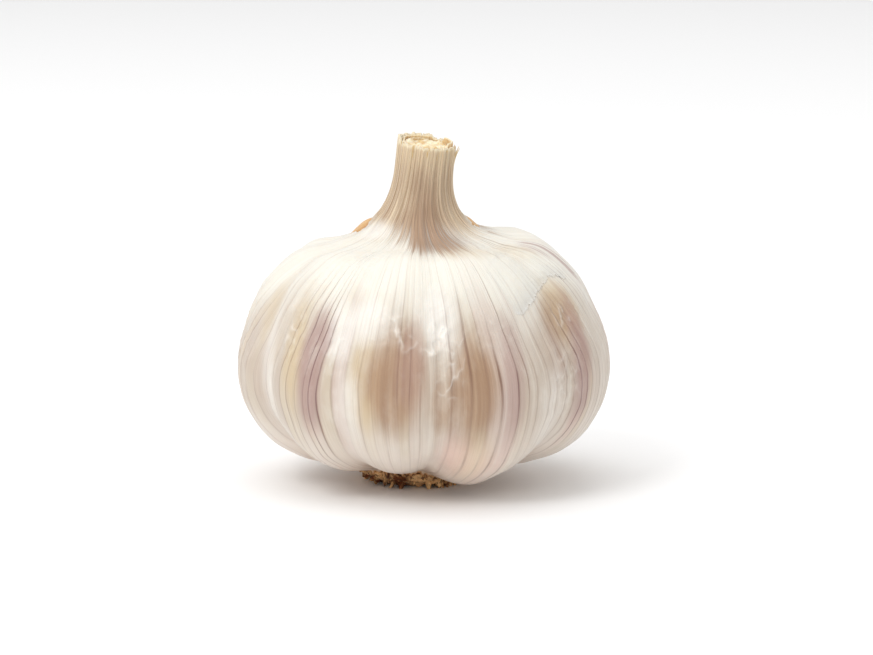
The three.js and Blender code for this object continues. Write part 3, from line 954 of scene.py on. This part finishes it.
def closed_strands(rings, ends):
    """Places, faces and UVs of strands for one mesh. `rings` is (strands, rows, sides, 3), and `ends`
    (strands, 2, 3) the points that close each strand's first and last ring with a fan. On the UV map
    a strand has a square of its own: its wall unrolled, and small triangles for its fans."""
    count, rows, sides = rings.shape[:3]
    row, column = np.meshgrid(np.arange(rows - 1), np.arange(sides), indexing="ij")
    row, column = row.ravel(), column.ravel()
    beside = (column + 1) % sides
    wall = np.stack([row * sides + column, row * sides + beside,
                     (row + 1) * sides + beside, (row + 1) * sides + column], -1)
    around, last = np.arange(sides), (rows - 1) * sides
    onward = (around + 1) % sides
    low = np.stack([onward, around, np.full(sides, rows * sides)], -1)
    high = np.stack([last + around, last + onward, np.full(sides, rows * sides + 1)], -1)
    unrolled = np.stack([column, row, column + 1, row, column + 1, row + 1, column, row + 1], -1)
    square = np.concatenate([unrolled.reshape(-1, 2) / (sides, rows),
                             np.tile(LOW_FAN_UV, (sides, 1)), np.tile(HIGH_FAN_UV, (sides, 1))])
    cells = int(np.ceil(np.sqrt(count)))
    faces, corners = [], []
    for strand in range(count):
        start = strand * (rows * sides + 2)
        faces += (wall + start).tolist() + (low + start).tolist() + (high + start).tolist()
        corners.append((square * UV_MARGIN + (strand % cells, strand // cells)) / cells)
    places = np.concatenate([rings.reshape(count, -1, 3), ends], axis=1).reshape(-1, 3)
    return places, faces, np.concatenate(corners)


def splinters(name, paths, widths, thick, sides=8, rows=14):
    """Tapered strands joined in one mesh. Each follows a curve through its own points, and its section
    is an ellipse of its width, tangent to the neck, by `thick`, that closes to a point at the tip."""
    part = np.linspace(0, 1, rows)
    taper = np.sqrt(np.clip(1 - part**3, 0.004, 1))[:, None, None]
    turn = np.arange(sides) * 2 * np.pi / sides
    rings, ends = [], []
    for points, width in zip(paths, widths):
        centre = spline(np.array(points, float), part)
        tangent = np.gradient(centre, axis=0)
        tangent /= np.linalg.norm(tangent, axis=1, keepdims=True)
        out = centre * (1, 1, 0) - (NECK_LEAN, 0, 0)
        side = np.cross(out, tangent)
        side /= np.linalg.norm(side, axis=1, keepdims=True)
        face = np.cross(tangent, side)
        rings.append(centre[:, None] + taper * (
            width / 2 * np.cos(turn)[None, :, None] * side[:, None]
            + thick / 2 * np.sin(turn)[None, :, None] * face[:, None]
        ))
        ends.append((centre[0], centre[-1]))
    places, faces, corners = closed_strands(np.array(rings), np.array(ends))
    attributes = [("wrap", places * (6.0, 6.0, 1.0)), ("height", np.full(len(places), 0.5))]
    return mesh_piece(name, places, faces, corners, attributes)


def on_neck(azimuth, height, stand):
    """A place beside the neck: its azimuth, its height, and how far off the neck's skin it stands."""
    level = np.interp(height, CREST_OUTLINE[8:, 1], np.arange(8, 15)) / 14
    place = skin_point(np.array(azimuth, float), np.array(level), np.array(stand, float))
    return (*place[:2], height)


# The splayed strand's three parts first, then the frayed ends.
SPLINTER_THICK, FRAYED_ENDS = 0.22, 44
scatter = np.random.default_rng(17)
paths = [
    [on_neck(84, 52.5, -0.15), on_neck(84, 55.0, 0.0), on_neck(85, 57.0, 0.25), on_neck(86, 58.6, 0.85)],
    [on_neck(76, 53.5, -0.15), on_neck(76, 55.5, 0.0), on_neck(77, 57.2, 0.2), on_neck(78, 58.5, 0.6)],
    [on_neck(94, 53.5, -0.15), on_neck(94, 55.5, 0.0), on_neck(93, 57.2, 0.2), on_neck(92, 58.9, 0.7)],
]
widths = [1.3, 1.1, 0.9]
spread = scatter.uniform(-4, 4, FRAYED_ENDS)
for azimuth in np.linspace(0, 360, FRAYED_ENDS, endpoint=False) + spread:
    top = NECK_TOP + cut_slant(azimuth) + scatter.uniform(-0.3, 0.35)
    lean = scatter.uniform(-3, 3)
    paths.append([on_neck(azimuth, top - 2.2, -0.28), on_neck(azimuth + lean / 2, top - 1.0, -0.16),
                  on_neck(azimuth + lean, top, scatter.uniform(-0.2, 0.12))])
    widths.append(scatter.uniform(0.3, 0.6))
frayed = splinters("neck_splinters", paths, widths, SPLINTER_THICK)
frayed.data.materials.append(straw)
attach(frayed, "root")

# ---------------------------------------------------------------- tan inner leaf
# Where the white leaf has split at the neck's foot, the drier leaf under it shows: smooth, brittle and
# orange tan. The split's lips are thin and white and curl up round it.


LEAF_TAN, LEAF_BUFF, RIM_SHADE_ORANGE = paint(198, 150, 94), paint(218, 178, 124), paint(178, 124, 62)


def tan_leaf():
    """Brittle tan leaf, darker towards its rim as painted shade under the split's lips, with faint
    lengthwise veins and a soft gloss.
    """
    leaf = Finish("tan_leaf")
    wrap, rim = leaf.attribute("wrap", "Vector"), leaf.attribute("rim")
    streaks = leaf.noise(leaf.stretched(wrap, (1, 1, 0.04)), 1.2, 3.0)
    colour = leaf.mix(streaks.step(0.3, 0.7), LEAF_TAN, LEAF_BUFF)
    # Painted shade: darker orange towards the rim, under the split's lips.
    colour = leaf.mix(rim.step(0.75, 1.0) * 0.6, colour, RIM_SHADE_ORANGE)
    return leaf.surface(
        Base_Color=colour, Roughness=0.42 + 0.1 * streaks,
        Normal=leaf.bump(streaks, distance=0.0001, strength=0.4),
        Subsurface_Weight=0.15, Subsurface_Radius=(1.0, 0.6, 0.3), Subsurface_Scale=0.001,
        Coat_Weight=0.15, Coat_Roughness=0.3,
    )


ALMOND_SIDES = 120
LENS_RAISED, LENS_BURIED, LIP_THICK, LIP_ROOT = 0.05, -0.3, 0.07, 0.4


def almond(middle, level, across, up, share, seed):
    """Azimuth and `along` of rings about a middle, pointed above and below. Each ring lies at its
    `share` of the way out; the outline is roughened by waves."""
    turn = -np.radians(np.arange(ALMOND_SIDES) * 360 / ALMOND_SIDES)
    rough = 1 + 0.05 * np.cos(5 * turn + seed) + 0.04 * np.cos(11 * turn + 2 * seed)
    rough += 0.03 * np.cos(19 * turn)
    across = across * np.sign(np.cos(turn)) * np.abs(np.cos(turn)) ** 1.5 * rough
    return middle + share * across, level + share * up * np.sin(turn) * rough


def leaf_lens(name, middle, level, across, up, bulge):
    """The part of the tan leaf that shows: rings about its middle that follow the skin, highest in
    the middle by the square of the way out, and then back underneath it."""
    out = np.linspace(0.03, 1, 22)
    share = np.concatenate([out, out[::-1]])[:, None]
    outside = np.arange(2 * len(out))[:, None] < len(out)
    azimuth, along = almond(middle, level, across, up, share, level)
    lift = np.where(outside, LENS_RAISED + bulge * (1 - share**2), LENS_BURIED)
    fields = [*leaf_attributes(azimuth, along)[:1], ("rim", share + 0 * azimuth)]
    return turned_piece(name, skin_point(azimuth, along, lift), fields)


def split_lips(name, middle, level, across, up, seed):
    """The white leaf's torn lips: a ring round the tan leaf whose inner edge is ragged and curls up,
    and whose outer edge sinks into the head."""
    out = np.linspace(0, 1, 16)[:, None]
    turn = np.radians(np.arange(ALMOND_SIDES) * 360 / ALMOND_SIDES)
    ragged = sum(np.cos(count * turn + count * seed) for count in (4, 7, 11, 17, 23, 31)) / 6
    share = 0.86 + 0.16 * ragged * (1 - out) + 0.75 * out
    azimuth, along = almond(middle, level, across, up, share, level)
    stands = (0.1 + 0.06 * ragged) * np.exp(-out / 0.3) + 0.06 * (1 - out)
    stands = stands - 0.14 * smoothstep(out, 0.8, 1)
    near = relief(azimuth, along)
    outer = skin_point(azimuth, along, near + stands)
    inner = skin_point(azimuth, along, near + stands - LIP_THICK - LIP_ROOT * smoothstep(out, 0.1, 0.5))
    attributes = [*leaf_attributes(azimuth, along), ("lane", lane_at(degrees_apart(azimuth, 0))[0])]
    pale = 0.9 * np.exp(-out / 0.5) + 0 * azimuth
    attributes = [(title, np.maximum(values, pale) if title == "white" else values)
                  for title, values in attributes if title != "brown"]
    return closed_sheet(name, outer, inner, attributes, wraps=True)


tan = tan_leaf()
for side, middle, level, across, up, bulge in (
    ("left", 258, 0.725, 20, 0.05, 1.0),
    ("right", 99, 0.75, 12, 0.04, 0.5),
):
    lens = leaf_lens(f"tan_leaf_{side}", middle, level, across, up, bulge)
    lens.data.materials.append(tan)
    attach(lens, "root")
    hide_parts(f"inner_skin_{side}")
    lips = split_lips(f"split_lips_{side}", middle, level, across, up, across)
    lips.data.materials.append(bpy.data.materials["papery_leaf"])
    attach(lips, "root")

# ---------------------------------------------------------------- root plate and roots
# The corky disc that the roots grew from. They were trimmed short, and what is left are chunky, dry,
# dark brown stubs round its edge, with black-brown in the pits between them, partly soil and partly
# painted shade, and torn leaf bases above. Their buff patches are partly a painted highlight.


PIT_BROWN = paint(52, 26, 10)
PLATE_BROWN, PLATE_TAN, ROOT_BROWN, ROOT_BUFF = (
    paint(112, 62, 28), paint(244, 196, 140), paint(110, 54, 20), paint(250, 200, 140)
)


def corky_root(name, dark, light, scale):
    """Corky brown: two browns in blotches, the lighter partly a painted highlight, and black-brown in the
    pits, partly soil and partly painted shade; rough all over.
    """
    cork = Finish(name)
    place = cork.node("ShaderNodeTexCoord", output="Object")
    blotch = cork.noise(place, scale, 4.0, 0.6)
    grit = cork.noise(place, scale * 5, 3.0, 0.7)
    # The lighter brown is partly a painted highlight.
    colour = cork.mix(blotch.step(0.4, 0.58), dark, light)
    # Black-brown specks: partly soil, partly painted shade in the pits.
    colour = cork.mix(grit.step(0.5, 0.34) * 0.85, colour, PIT_BROWN)
    return cork.surface(
        Base_Color=colour, Roughness=0.8 + 0.15 * blotch,
        Normal=cork.bump(grit + blotch, distance=0.0004, strength=0.9), Specular_IOR_Level=0.3,
    )


# The plate's outline, radius and height, from under its middle round to its seat.
PLATE_OUTLINE = np.array([
    (0.3, 0.0), (3.0, 0.0), (5.9, 0.05), (7.4, 0.6), (8.8, 1.4), (9.3, 2.0), (8.8, 2.7), (4.0, 2.8)
])
PLATE_TOP = 2.8


def plate_rings():
    """The plate's rings from its sole up and round to its seat: a lathed outline roughened by noise of
    two sizes, flat where it stands."""
    radius, level = spline(PLATE_OUTLINE, np.linspace(0, 1, 56)).T
    azimuth = np.arange(200) * 360 / 200 - 180
    angle, radius = np.meshgrid(np.radians(azimuth), radius)
    level = np.broadcast_to(level[:, None], radius.shape)
    places = np.stack([radius * np.sin(angle), -radius * np.cos(angle), level], -1)
    rough = 0.3 * ripples(places, 2.6, 41) + 0.16 * ripples(places, 1.2, 42)
    edge = smoothstep(radius, 4.5, 7.5)
    places[..., :2] *= 1 + (rough * edge / 8)[..., None]
    places[..., 2] = np.clip(places[..., 2] + 0.5 * rough * edge, 0, PLATE_TOP)
    return places


plate = turned_piece("cork_plate", plate_rings())
plate.data.materials.append(corky_root("corky_plate", PLATE_BROWN, PLATE_TAN, 260.0))
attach(plate, "root")
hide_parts("root_plate")


FRILL_RADIUS, FRILL_HEIGHT, FRILL_BOW, FRILL_WALL = 8.9, 2.9, 0.25, 0.1


def root_frill():
    """Torn, brown bases of the outer leaves, in a ring between the plate and the white leaves: rows
    from the ragged free edge, which hangs down outside the plate, up to the skin above."""
    columns = 400
    azimuth = np.arange(columns) * 360 / columns
    up = np.linspace(0, 1, 12)[:, None]
    ragged = strands(azimuth, (17, 26, 39, 51, 68, 83), 51)
    hang = np.clip(0.55 + 0.5 * ragged, 0, 1.5)
    top = skin_point(azimuth, 0.03 + 0 * azimuth, 0.02)
    angle = np.radians(azimuth)
    outward = np.stack([np.sin(angle), -np.cos(angle), np.zeros(columns)], -1)
    reach = FRILL_RADIUS + 0.35 * strands(azimuth, (9, 15, 23, 37), 52)
    edge = reach[:, None] * outward + (0, 0, FRILL_HEIGHT)
    edge[:, 2] -= hang
    bow = np.sin(np.pi * up)[..., None] * FRILL_BOW * (0.5 * outward + (0, 0, -0.4))
    outer = edge + up[..., None] * (top - edge) + bow
    inner = outer + (0, 0, FRILL_WALL) - 0.03 * outward
    angle = np.broadcast_to(angle, outer.shape[:2])
    tube = np.stack([9 * np.sin(angle), -9 * np.cos(angle), outer[..., 2]], -1)
    attributes = [("wrap", tube), ("height", up * np.ones(columns))]
    return closed_sheet("root_frill", outer, inner, attributes, wraps=True)


SCORCHED_BROWN, SCORCHED_TAN = paint(96, 50, 20), paint(206, 150, 96)
SCORCHED_CREAM = paint(226, 204, 180)


def scorched_leaf():
    """Torn leaf bases: cream above, brown to black brown towards the free edge, in streaks."""
    leaf = Finish("scorched_leaf")
    wrap, height = leaf.attribute("wrap", "Vector"), leaf.attribute("height")
    blotch = leaf.noise(leaf.stretched(wrap, (1, 1, 0.6)), 0.7, 4.0, 0.65)
    level = height + (blotch - 0.5) * 1.4
    colour = leaf.mix(level.step(0.2, 0.6), SCORCHED_BROWN, SCORCHED_TAN)
    colour = leaf.mix(level.step(0.55, 1.0), colour, SCORCHED_CREAM)
    normal = leaf.bump(blotch, distance=0.0003, strength=0.8)
    return leaf.surface(Base_Color=colour, Roughness=0.7, Normal=normal)


frill = root_frill()
frill.data.materials.append(scorched_leaf())
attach(frill, "root")


STUB_INSET, STUB_BURIED, STUB_POINT, STUB_CEILING = 0.5, 0.4, 0.15, 3.0
STUB_LUMPS, STUB_BEND, STUB_TILT, STUB_TAPER = 0.22, 0.35, 16, 0.72


def root_stubs(rows, sides=9, steps=7):
    """Trimmed roots joined in one mesh: each is a bent, lumpy cone that leaves the plate at its row's
    radius and height and leans outwards, flattened where it meets the table. A row is its first and
    last azimuth, how many roots it has, and their radius, height, length, width and lean."""
    scatter = np.random.default_rng(23)
    part = np.linspace(0, 1, steps)
    turn = np.arange(sides) * 2 * np.pi / sides
    rings, ends = [], []
    for first, last, count, radius, level, length, width, lean in rows:
        for at in range(count):
            azimuth = np.radians(first + (last - first) * (at + scatter.uniform(-0.35, 0.35)) / count)
            tilt = np.radians(lean + scatter.uniform(-STUB_TILT, STUB_TILT))
            long, wide = length * scatter.uniform(0.55, 1.25), width * scatter.uniform(0.7, 1.25)
            out = np.array([np.sin(azimuth), -np.cos(azimuth), 0])
            along_root = np.sin(tilt) * out - np.cos(tilt) * np.array([0, 0, 1])
            beside = np.cross(along_root, out + (0, 0, 0.01))
            beside /= np.linalg.norm(beside)
            over = np.cross(beside, along_root)
            foot = (radius - STUB_INSET) * out + (0, 0, level + scatter.uniform(-0.2, 0.4))
            foot = foot - STUB_BURIED * along_root
            bend = scatter.uniform(-STUB_BEND, STUB_BEND) * long
            centre = foot + part[:, None] * (long + STUB_BURIED) * along_root
            centre = centre + (bend * part**2)[:, None] * beside
            lumps = 1 + STUB_LUMPS * scatter.normal(size=(steps, sides))
            reach = wide / 2 * (1 - STUB_TAPER * part**1.3)[:, None] * np.clip(lumps, 0.6, 1.5)
            rings.append(centre[:, None] + reach[..., None] * (
                np.cos(turn)[:, None] * beside + np.sin(turn)[:, None] * over
            ))
            ends.append((centre[0], centre[-1] + STUB_POINT * along_root))
    places, faces, corners = closed_strands(np.array(rings), np.array(ends))
    places[:, 2] = np.clip(places[:, 2], 0.0, STUB_CEILING)
    return mesh_piece("root_stubs", places, faces, corners)


stubs = root_stubs([
    (0, 360, 30, 8.7, 2.0, 1.5, 1.5, 60),
    (0, 360, 27, 8.2, 1.4, 1.9, 1.6, 38),
    (0, 360, 22, 6.8, 0.9, 1.3, 1.4, 20),
    (0, 360, 15, 4.9, 0.7, 0.8, 1.3, 5),
    (0, 360, 8, 2.6, 0.6, 0.7, 1.2, 0),
    (20, 105, 14, 8.7, 1.3, 1.9, 1.7, 42),
])
stubs.data.materials.append(corky_root("dry_root", ROOT_BROWN, ROOT_BUFF, 300.0))
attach(stubs, "root")

# ---------------------------------------------------------------- floor, light and camera
# A plain pale table under soft studio light, seen from a little above, as in a product picture.

TABLE_WHITE, STUDIO_STRENGTH = (0.93, 0.93, 0.93, 1), 0.78

table = bpy.data.meshes.new("table")
table.from_pydata([(-4, -4, 0), (4, -4, 0), (4, 6, 0), (-4, 6, 0)], [], [(0, 1, 2, 3)])
floor = bpy.data.objects.new("floor", table)
bpy.context.scene.collection.objects.link(floor)
pale = Finish("pale_table")
matt = pale.surface(Base_Color=TABLE_WHITE, Roughness=0.8, Specular_IOR_Level=0.1)
floor.data.materials.append(matt)

world = bpy.data.worlds.new("studio")
world.use_nodes = True
sky = world.node_tree.nodes["Background"]
sky.inputs["Color"].default_value = (1, 1, 1, 1)
sky.inputs["Strength"].default_value = STUDIO_STRENGTH
bpy.context.scene.world = world


def softbox(name, place, target, size, power):
    """A square area light at `place`, turned to face `target`."""
    light = bpy.data.lights.new(name, "AREA")
    light.size, light.energy = size, power
    lamp = bpy.data.objects.new(name, light)
    lamp.location = place
    lamp.rotation_euler = (Vector(target) - Vector(place)).to_track_quat("-Z", "Y").to_euler()
    bpy.context.scene.collection.objects.link(lamp)


softbox("overhead", (-0.25, 0.1, 1.5), (0, 0.1, 0), 1.6, 10.0)
softbox("key", (-0.45, -0.55, 0.7), (0, 0, 0.03), 0.35, 2.5)

CAMERA_ELEVATION, CAMERA_DISTANCE = math.radians(9), 0.6
AIM = Vector((0.00393, 0, 0.027))
LENS, SENSOR = 141.6, 36
camera = bpy.data.cameras.new("camera")
camera.lens = LENS
camera.sensor_width = SENSOR
eye = bpy.data.objects.new("camera", camera)
away = Vector((0, -math.cos(CAMERA_ELEVATION), math.sin(CAMERA_ELEVATION)))
eye.location = AIM + CAMERA_DISTANCE * away
eye.rotation_euler = (-away).to_track_quat("-Z", "Y").to_euler()
bpy.context.scene.collection.objects.link(eye)
bpy.context.scene.camera = eye
bpy.context.scene.view_settings.view_transform = "Standard"
